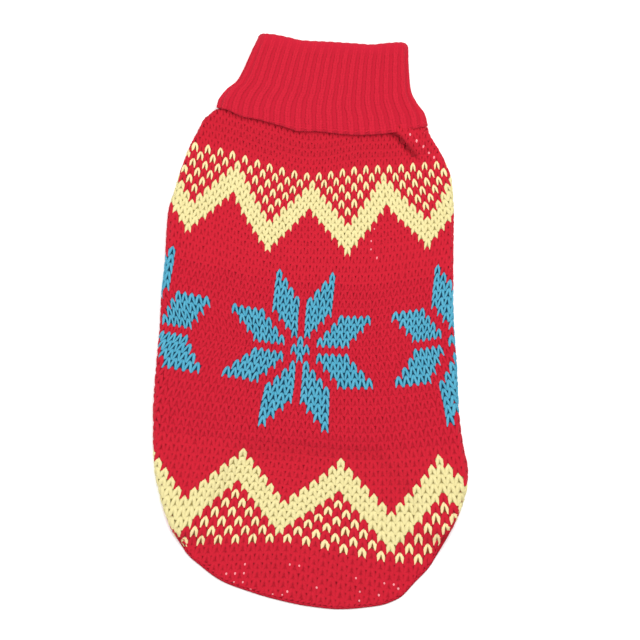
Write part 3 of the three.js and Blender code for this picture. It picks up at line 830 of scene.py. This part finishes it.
def purl_bars(name, columns, rows, material, random):
    """Two closed bars for each stitch. The middle of a bar is moved by the bow,
    which is 1 - (sideways / half length)^2 of the most."""
    count, rings = len(columns), len(PURL_BAR)
    angle = np.linspace(0, 2 * np.pi, LEG_SIDES, endpoint=False)
    ring = PURL_BAR[None, None, :, None, :]
    half = np.array([0.0, 0.5])[None, :, None, None]
    shape = (count, 2, rings, LEG_SIDES)
    bow = np.array([1.0, -1.0])[None, :, None, None] * PURL_BOW * (1 - (ring[..., 0] / PURL_BAR[-1, 0]) ** 2)
    shift = random.normal(0, STITCH_JITTER, (2, count, 2, 1, 1))
    column = np.broadcast_to(columns[:, None, None, None] + half + ring[..., 0] + shift[0], shape)
    middle = rows[:, None, None, None] + half + bow
    row = np.broadcast_to(middle + ring[..., 1] * np.cos(angle) + shift[1], shape)
    depth = np.broadcast_to(PURL_DEPTH + PURL_HALF_THICKNESS * ring[..., 2] * np.sin(angle), shape)
    points = on_back_panel(column, row, depth).reshape(-1, 3)
    each = rings * LEG_SIDES
    faces = (tube_faces(rings)[None] + (np.arange(2 * count) * each)[:, None, None]).reshape(-1, 4)
    piece = new_object(name, points, faces, material)
    around = np.tile(np.arange(LEG_SIDES) / LEG_SIDES, 2 * count * rings)
    along = np.tile(np.repeat(PURL_BAR[:, 0] + 0.5, LEG_SIDES), 2 * count)
    map_yarn(piece, faces, around, along, np.repeat(random.uniform(-1, 1, 2 * count), each))
    return piece


purl_random = np.random.default_rng(11)
shown = purl_shows(all_columns, all_rows)
cream = zigzags | seeds
for name, chosen, yarn in (("purl_red", ~cream, RED_YARN), ("purl_cream", cream, CREAM_YARN)):
    piece = purl_bars(name, all_columns[chosen & shown], all_rows[chosen & shown], yarn, purl_random)
    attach(piece, "root")

# Eyelets: small gaps between stitches on the right shoulder and near the tail, each with a pale pink bead
# of less than a millimetre.
SHOULDER_EYELETS = np.array([(16.3, -25.65), (17.5, -24.82), (18.7, -24.05), (19.7, -23.2), (20.6, -22.55)])
# The others, as pixels of the photo. Each lies in the nearest gap, between a stitch's legs or beside them.
DOT_PIXELS = np.array([
    (373.5, 231), (371, 240), (369.5, 248), (377, 256.6), (244.6, 562), (235.7, 572), (244.6, 571),
    (226.7, 575), (235.7, 581), (244.6, 581), (254, 591), (270, 593), (280, 593), (288.6, 593),
    (290.5, 563.5), (300, 564), (383.5, 586), (393, 588), (401.7, 588.6), (362, 590.5), (380, 596),
    (358.7, 599), (316, 586), (355, 576.5),
])
DOT_ORIGIN = (310.5, 322)
DOT_SCALE = 0.58
GAP_IN_STITCH = 0.80
GAP_BESIDE_STITCH = 0.38
gap_columns, gap_rows = every_stitch(
    np.arange(-WIDEST_COLUMN, WIDEST_COLUMN + 1), np.arange(FIRST_ROW, LAST_ROW + 1))
gaps = np.concatenate([
    np.stack([gap_columns, gap_rows + GAP_IN_STITCH], axis=1),
    np.stack([gap_columns + 0.5, gap_rows + GAP_BESIDE_STITCH], axis=1),
])
gap_x, gap_y = knit_place(gaps[:, 0], gaps[:, 1])
dot_x = (DOT_PIXELS[:, 0, None] - DOT_ORIGIN[0]) * DOT_SCALE
dot_y = (DOT_ORIGIN[1] - DOT_PIXELS[:, 1, None]) * DOT_SCALE
nearest = np.argmin(np.hypot(gap_x - dot_x, gap_y - dot_y), axis=1)
EYELETS = np.concatenate([SHOULDER_EYELETS, gaps[nearest]])
EYELET_DEPTH, EYELET_HALF_THICKNESS = 0.40, 0.42
SHOULDER_GIRTH = 1.6

# One bead. Columns: down in rows, half width in stitch widths, share of the half thickness.
EYELET_BEAD = np.array([(-0.14, 0.06, 0.4), (-0.06, 0.14, 1.0), (0.06, 0.14, 1.0), (0.14, 0.06, 0.4)])
PALE_BEADS = wool_yarn("pale_beads", (0.74, 0.29, 0.31, 1), (0.66, 0.22, 0.24, 1), (0.50, 0.10, 0.12, 1))
eyelet_girth = purl_random.uniform(0.75, 1.1, (len(EYELETS), 1, 1))
eyelet_girth[:len(SHOULDER_EYELETS)] = SHOULDER_GIRTH
angle = np.linspace(0, 2 * np.pi, LEG_SIDES, endpoint=False)
bead = EYELET_BEAD[None, :, None, :]
bead_shape = (len(EYELETS), len(EYELET_BEAD), LEG_SIDES)
eyelet_points = on_back_panel(
    np.broadcast_to(EYELETS[:, 0, None, None] + eyelet_girth * bead[..., 1] * np.cos(angle), bead_shape),
    np.broadcast_to(EYELETS[:, 1, None, None] + eyelet_girth * bead[..., 0], bead_shape),
    np.broadcast_to(EYELET_DEPTH + EYELET_HALF_THICKNESS * bead[..., 2] * np.sin(angle), bead_shape),
)
bead_faces = tube_faces(len(EYELET_BEAD))
eyelet_starts = np.arange(len(EYELETS)) * len(EYELET_BEAD) * LEG_SIDES
eyelets = new_object("eyelets", eyelet_points.reshape(-1, 3),
                     (bead_faces[None] + eyelet_starts[:, None, None]).reshape(-1, 4), PALE_BEADS)
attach(eyelets, "root")

# Bound edges of the back panel: a chain of stitches that closes the free edge of the knitting. It follows the
# hem, from the end of the belly panel round the tail and back, and the two halves of the leg openings.
CHAIN_PITCH = 3.3
CHAIN_GIRTH = 4.4
CHAIN_FLAT = 2.0
RIM_RADIUS = CLOTH / 2
CHAIN_LEG = LEG * np.array([1, 1.1, 1.15, 1, 1])
LEG_RIM_END = 0.02


def edge_chain(name, line, place, material, random, on_face=CHAIN_FLAT):
    """A chain of stitches along a line of sheet coordinates. Across the line it lies flat on the face for a
    stretch, to the left of the line, and then bends round the rim in a half circle."""
    ahead = np.gradient(line, axis=0)
    inward = np.stack([-ahead[:, 1], ahead[:, 0]], axis=1) / np.hypot(ahead[:, 0], ahead[:, 1])[:, None]
    track = place(line[:, 0], line[:, 1], np.full(len(line), RIM_RADIUS))
    along = np.concatenate([[0], np.cumsum(np.linalg.norm(np.diff(track, axis=0), axis=1))])
    count = int(along[-1] / CHAIN_PITCH)

    def on_edge(column, row, depth):
        at = row * along[-1] / count
        middle = [np.interp(at, along, line[:, k]) for k in (0, 1)]
        aside = [np.interp(at, along, inward[:, k]) for k in (0, 1)]
        travel = (column + 0.5) * (CHAIN_GIRTH - CHAIN_FLAT + on_face)
        angle = np.maximum(travel - on_face, 0) / RIM_RADIUS
        radius = RIM_RADIUS - depth
        offset = RIM_RADIUS + np.maximum(on_face - travel, 0) - radius * np.sin(angle)
        return place(middle[0] + offset * aside[0], middle[1] + offset * aside[1],
                     RIM_RADIUS - radius * np.cos(angle))

    return stitch_piece(name, np.zeros(count), np.arange(count) * 1.0, on_edge, material, random, CHAIN_LEG)


def strip_edge(side, y):
    """The edge of the folded strip, in the spread-out cloth."""
    fold = fold_at(side, y)
    return fold["start"] + SIDES[side] * fold["length"]


def leg_rim(side, panel_edge):
    """Half of a leg opening along the edge of a panel, from its tail end to its neck end."""
    turn = np.linspace(LEG_RIM_END, np.pi - LEG_RIM_END, 60)
    y = LEG_HOLE_Y + LEG_HOLE_HALF_LENGTH * np.cos(turn)
    return np.stack([panel_edge(side, y), y], axis=1)[::-1]


side_y = np.linspace(BELLY_END_Y, TAIL_CORNER_Y + 1, 60)
tail_x = np.linspace(TAIL_EDGE[0, 0] + 0.9, TAIL_EDGE[-1, 0] - 0.9, 160)
hem_line = np.concatenate([
    np.stack([strip_edge("left", side_y), side_y], axis=1),
    np.stack([tail_x, tail_hem(tail_x)], axis=1),
    np.stack([strip_edge("right", side_y), side_y], axis=1)[::-1],
])
back_edges = [edge_chain("hem_chain", hem_line, folded_place, RED_YARN, knit_random)]
for side in SIDES:
    rim = leg_rim(side, strip_edge)
    back_edges.append(edge_chain(f"{side}_leg_chain_back", rim, folded_place, RED_YARN, knit_random))
for piece in back_edges:
    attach(piece, "root")

# Belly panel: plain red knitting between the two folded strips, the side the sweater lies on. It runs from
# the neck seam to about two thirds of the way to the tail, with half of each leg opening cut out of its sides.
BELLY_STITCH_WIDTH = 3.9
BELLY_ROW_HEIGHT = 4.6
BELLY_SHARES = np.linspace(0, level_share(BELLY_END_Y), 61)


def belly_edge(side, y):
    """Edge of the belly panel, one seam gap inside the folded strip of the back panel."""
    fold = fold_at(side, y)
    return fold["start"] - SIDES[side] * (fold["wrap"] + SEAM_GAP + leg_hole_cut(y))


def belly_place(x, y, depth):
    """Place of a point of the belly panel, at a depth above the side that faces the floor."""
    return np.stack([x, y, neck_lift(x, y) + depth], axis=-1)


def belly_grid(shares, depth):
    """Points of the belly panel on its sections, at a depth above the side that faces the floor."""
    edges = section_edges(shares)
    wide = {key: value[:, None] for key, value in edges.items()}
    start, end = (belly_edge(side, wide[side]) for side in SIDES)
    x = mix(end, start, np.linspace(0, 1, 41)[None, :])
    y = section_y(shares[:, None], wide, x)
    return belly_place(x, y, depth)


def on_belly(column, row, depth):
    """Place of a point of the belly's knitting, whose rows follow the sections of the body."""
    share = row * BELLY_ROW_HEIGHT / (SEAM["level"] - SEAM_GAP - TAIL_CORNER_Y)
    x = BELLY_STITCH_WIDTH * column
    y = section_y(share, section_edges(share), x)
    return belly_place(x, y, depth)


def belly_has(column, row):
    """Whether a stitch lies on the belly panel, clear of its sides and its open end."""
    place = on_belly(column, row + 0.5, 0 * row)
    inside = place[..., 1] > belly_end_line(place[..., 0]) + 2
    for side, sign in SIDES.items():
        inside &= sign * (belly_edge(side, place[..., 1]) - place[..., 0]) > BELLY_STITCH_WIDTH / 2
    return inside


belly_cloth = closed_sheet(
    "belly_cloth", belly_grid(BELLY_SHARES, STITCH_SINK), belly_grid(BELLY_SHARES, CLOTH), RED_CORE)
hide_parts("belly_panel")
belly_columns, belly_rows = every_stitch(np.arange(-14, 16), np.arange(0, 40))
belly_kept = belly_has(belly_columns, belly_rows)
belly_stitches = stitch_piece(
    "belly_stitches", belly_columns[belly_kept], belly_rows[belly_kept], on_belly, RED_YARN, knit_random)


end_x = np.linspace(belly_edge("left", BELLY_END_Y) + 1, belly_edge("right", BELLY_END_Y) - 1, 60)
belly_edges = [edge_chain("belly_end_chain", np.stack([end_x, belly_end_line(end_x)], axis=1), belly_place,
                          RED_YARN, knit_random)]
for side in SIDES:
    rim = leg_rim(side, belly_edge)
    belly_edges.append(edge_chain(f"{side}_leg_chain_belly", rim, belly_place, RED_YARN, knit_random))
for piece in [belly_cloth, belly_stitches] + belly_edges:
    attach(piece, "root")

# Collar: a ribbed tube knitted on to the neck and turned down over itself, so that its flap lies round the
# neck in two layers. Each rib is one column of knit stitches, and the furrow between two ribs is one of purl.

# Rings of the flap from its hem to the fold. Columns: left x and y, right x and y, bow towards the tail.
COLLAR_RINGS = np.array([
    (-54.8, 123.8, 68.2, 113.4, 9.0), (-53.6, 128.4, 66.4, 120.4, 7.0), (-49.0, 134.6, 61.8, 127.0, 5.5),
    (-42.6, 139.9, 58.6, 134.0, 4.5), (-38.6, 147.0, 57.6, 142.5, 3.5), (-34.6, 156.0, 57.0, 151.5, 2.5),
    (-30.6, 163.8, 56.8, 158.3, 2.0),
])
SEAM_RING = 1
TOP_RING = 6
RIBS_OVER = 24.5
RIBS_UNDER = 17.5
COLLAR_FOLD_RADIUS = (2 * CLOTH + SEAM_GAP) / 2
COLLAR_ROW_HEIGHT = 3.0
FURROW_SINK = 0.72
FURROW_AT_FOLD = 0.20
RIB_CORE_DEPTH = 0.60
RIB_CORE_AT_FOLD = 0.15
FOLD_EASE = 6
# The fold at the top is a little uneven. Columns: share of the half width from the middle, rise.
FOLD_WAVE = np.array([
    (-1, 0.2), (-0.8, 1.0), (-0.55, 0.2), (-0.44, -0.5), (0, 0), (0.3, -0.2), (0.5, -0.6), (0.7, 0.3),
    (0.87, 0.7), (1, 0),
])
# So is its hem. Columns: share of the half width from the middle, rise.
HEM_WAVE = np.array([
    (-1, 0.2), (-0.89, 1.2), (-0.75, 0.1), (-0.60, 1.0), (-0.45, 0.7), (-0.32, -0.1), (-0.24, -1.0),
    (-0.02, 0.3), (0.17, -0.3), (0.34, -0.8), (0.50, -0.9), (0.68, -0.7), (0.85, -0.2), (1, 0),
])
RING_MIDDLE_Y = (COLLAR_RINGS[:, 1] + COLLAR_RINGS[:, 3]) / 2 - COLLAR_RINGS[:, 4]
FLAP_LENGTH = RING_MIDDLE_Y[-1] - RING_MIDDLE_Y[0]


def collar_point(ring, rib, rise, depth):
    """Place on the collar: a rounded ring of two half circles and two straights, counted in ribs from the
    middle of the left bend's underside, bowed in plan, at a depth inside its outer surface."""
    index = np.arange(len(COLLAR_RINGS))
    left_x, left_y, right_x, right_y, bow = (smooth_curve(index, COLLAR_RINGS[:, k], ring) for k in range(5))
    half_width = (right_x - left_x) / 2
    flat = half_width - COLLAR_HALF_HEIGHT
    radius = COLLAR_HALF_HEIGHT - depth
    bend = np.pi * COLLAR_HALF_HEIGHT
    over = np.clip(rib / RIBS_OVER, 0, 1) * (2 * bend + 2 * flat)
    left_angle = np.minimum(over, bend) / COLLAR_HALF_HEIGHT
    right_angle = np.clip(over - bend - 2 * flat, 0, bend) / COLLAR_HALF_HEIGHT
    straight = np.clip(over - bend, 0, 2 * flat) - flat
    across = straight - radius * np.sin(left_angle) + radius * np.sin(right_angle)
    height = COLLAR_HALF_HEIGHT - radius * np.where(over < bend, np.cos(left_angle), -np.cos(right_angle))
    under = (rib - RIBS_OVER) / RIBS_UNDER
    across = np.where(under > 0, mix(flat, -flat, under), across)
    height = np.where(under > 0, COLLAR_HALF_HEIGHT - radius, height)
    along = across / half_width
    y = (left_y + right_y) / 2 + (right_y - left_y) / 2 * along - bow * (1 - along**2) + rise
    y = y + (ring / TOP_RING) ** 2 * smooth_curve(FOLD_WAVE[:, 0], FOLD_WAVE[:, 1], along)
    y = y + np.clip(1 - ring, 0, 1) ** 2 * smooth_curve(HEM_WAVE[:, 0], HEM_WAVE[:, 1], along)
    return np.stack([(left_x + right_x) / 2 + across, y, height], axis=-1)


def on_collar(column, row, depth):
    """Place of a point of the ribbing: up the flap from its hem, then over the fold at the top."""
    path = row * COLLAR_ROW_HEIGHT
    climb = np.clip(path, 0, FLAP_LENGTH)
    ring = smooth_curve(RING_MIDDLE_Y - RING_MIDDLE_Y[0], np.arange(len(COLLAR_RINGS)), climb)
    angle = np.clip(path - FLAP_LENGTH, 0, np.pi * COLLAR_FOLD_RADIUS) / COLLAR_FOLD_RADIUS
    sink = mix(FURROW_SINK, FURROW_AT_FOLD, ease_step((path - FLAP_LENGTH + FOLD_EASE) / FOLD_EASE))
    radius = COLLAR_FOLD_RADIUS - depth - sink * np.sin(np.pi * column) ** 2
    ribs = RIBS_OVER + RIBS_UNDER
    depth = COLLAR_FOLD_RADIUS - radius * np.cos(angle)
    return collar_point(ring, np.mod(column, ribs), radius * np.sin(angle), depth)


def collar_shell(name, material):
    """A closed surface round the collar: up the flap, over the fold, down inside to the neck seam, back up
    between the two layers and down to the hem. The flap sinks into a furrow between two ribs."""
    around = np.arange((RIBS_OVER + RIBS_UNDER) * 4) / 4
    rows = []
    for path in np.linspace(0, FLAP_LENGTH + 0.92 * np.pi * COLLAR_FOLD_RADIUS, 40):
        depth = mix(RIB_CORE_DEPTH, RIB_CORE_AT_FOLD, ease_step((path - FLAP_LENGTH + FOLD_EASE) / FOLD_EASE))
        rows.append(on_collar(around, np.full(around.shape, path / COLLAR_ROW_HEIGHT), depth))
    inside = 2 * CLOTH + SEAM_GAP
    for ring, depth, rise in (
        (TOP_RING, inside, 0), (3, inside, 0), (SEAM_RING, inside, 0), (SEAM_RING, CLOTH + SEAM_GAP, 0),
        (3, CLOTH + SEAM_GAP, 0), (TOP_RING, CLOTH + SEAM_GAP, 0),
        (TOP_RING, CLOTH + SEAM_GAP / 2, SEAM_GAP / 2), (TOP_RING, CLOTH, 0), (3, CLOTH, 0),
        (SEAM_RING, CLOTH, 0), (0, CLOTH, 0),
    ):
        rows.append(collar_point(np.full(around.shape, float(ring)), around, rise, depth))
    grid = np.stack(rows)
    faces = grid_faces(len(rows), len(around), close_rows=True, close_columns=True)
    return new_object(name, grid.reshape(-1, 3), faces, material)


# One leg of a rib's stitch, in the columns of LEG: nearly upright and long, so that a rib reads as two cords.
RIB_LEG = np.array([
    (-0.30, 0.090, 0.110, 0.40, 0.50),
    (0.00, 0.115, 0.190, 0.08, 0.75),
    (0.40, 0.140, 0.215, 0.00, 0.85),
    (0.80, 0.160, 0.215, 0.00, 0.85),
    (1.15, 0.175, 0.190, 0.08, 0.75),
    (1.45, 0.185, 0.110, 0.40, 0.50),
])
# The rib yarn's third colour is painted shade. The rib core is darker than the yarn: painted shade in the
# furrows and gaps.
RIB_YARN = wool_yarn("rib_yarn", (0.455, 0.011, 0.028, 1), (0.420, 0.009, 0.025, 1), (0.370, 0.007, 0.020, 1))
RIB_CORE = wool_core("rib_wool_core", (0.41, 0.009, 0.025, 1), (0.38, 0.008, 0.023, 1))
collar_cloth = collar_shell("collar_cloth", RIB_CORE)
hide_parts("collar")
rib_columns, rib_rows = every_stitch(
    np.arange(0, int(RIBS_OVER + RIBS_UNDER)), np.arange(0.25, (FLAP_LENGTH + 8) / COLLAR_ROW_HEIGHT, 1))
rib_stitches = stitch_piece("rib_stitches", rib_columns, rib_rows, on_collar, RIB_YARN, knit_random, RIB_LEG)
RIB_PITCH = 6.2
FLAP_CHAIN_FLAT = 0.8


def flap_place(rib_length, height, depth):
    """The flap in sheet coordinates: millimetres round it, counted at the hem, and up from the hem."""
    return on_collar(rib_length / RIB_PITCH, height / COLLAR_ROW_HEIGHT, depth)


ring_length = np.linspace(0, (RIBS_OVER + RIBS_UNDER) * RIB_PITCH, 400)
flap_chain = edge_chain("flap_chain", np.stack([ring_length, 0 * ring_length], axis=1), flap_place, RIB_YARN,
                        knit_random, on_face=FLAP_CHAIN_FLAT)
for piece in (collar_cloth, rib_stitches, flap_chain):
    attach(piece, "root")

# Studio: a plain white table under the sweater, one large soft light overhead and a weaker one low on the
# left, and a camera straight above on a long lens.
PICTURE_CENTRE = (5.5, 1.2)
PICTURE_WIDTH = 371.2
CAMERA_HEIGHT = 2600.0
TABLE_SIZE = 3000.0

floor_material = bpy.data.materials.new("white_table")
floor_material.use_nodes = True
floor_finish = floor_material.node_tree.nodes["Principled BSDF"]
floor_finish.inputs["Base Color"].default_value = (0.97, 0.97, 0.97, 1)
floor_finish.inputs["Roughness"].default_value = 0.8
floor_finish.inputs["Specular IOR Level"].default_value = 0.1
half_table = TABLE_SIZE / 2
table = new_object(
    "table",
    [(-half_table, -half_table, 0), (half_table, -half_table, 0), (half_table, half_table, 0),
     (-half_table, half_table, 0)],
    np.array([(0, 1, 2, 3)]),
    floor_material,
)


def area_light(name, place, aim, size, power):
    """A square soft light in millimetres, turned towards a point."""
    lamp = bpy.data.lights.new(name, "AREA")
    lamp.size = size * MM
    lamp.energy = power
    holder = bpy.data.objects.new(name, lamp)
    bpy.context.scene.collection.objects.link(holder)
    holder.location = [value * MM for value in place]
    direction = Vector(aim) - Vector(place)
    holder.rotation_euler = direction.to_track_quat("-Z", "Y").to_euler()


area_light("overhead", (350, 600, 1400), (0, 0, 0), 1300, 30)
area_light("low_left", (-900, -300, 900), (0, 0, 0), 1000, 7)

world = bpy.data.worlds.new("studio")
world.use_nodes = True
world.node_tree.nodes["Background"].inputs["Color"].default_value = (1, 1, 1, 1)
world.node_tree.nodes["Background"].inputs["Strength"].default_value = 0.56
bpy.context.scene.world = world

camera_data = bpy.data.cameras.new("camera")
camera_data.sensor_width = 36
camera_data.lens = 36 * CAMERA_HEIGHT / PICTURE_WIDTH
camera_data.clip_end = 20
camera = bpy.data.objects.new("camera", camera_data)
camera.location = (PICTURE_CENTRE[0] * MM, PICTURE_CENTRE[1] * MM, CAMERA_HEIGHT * MM)
bpy.context.scene.collection.objects.link(camera)
bpy.context.scene.camera = camera
bpy.context.scene.view_settings.view_transform = "Standard"
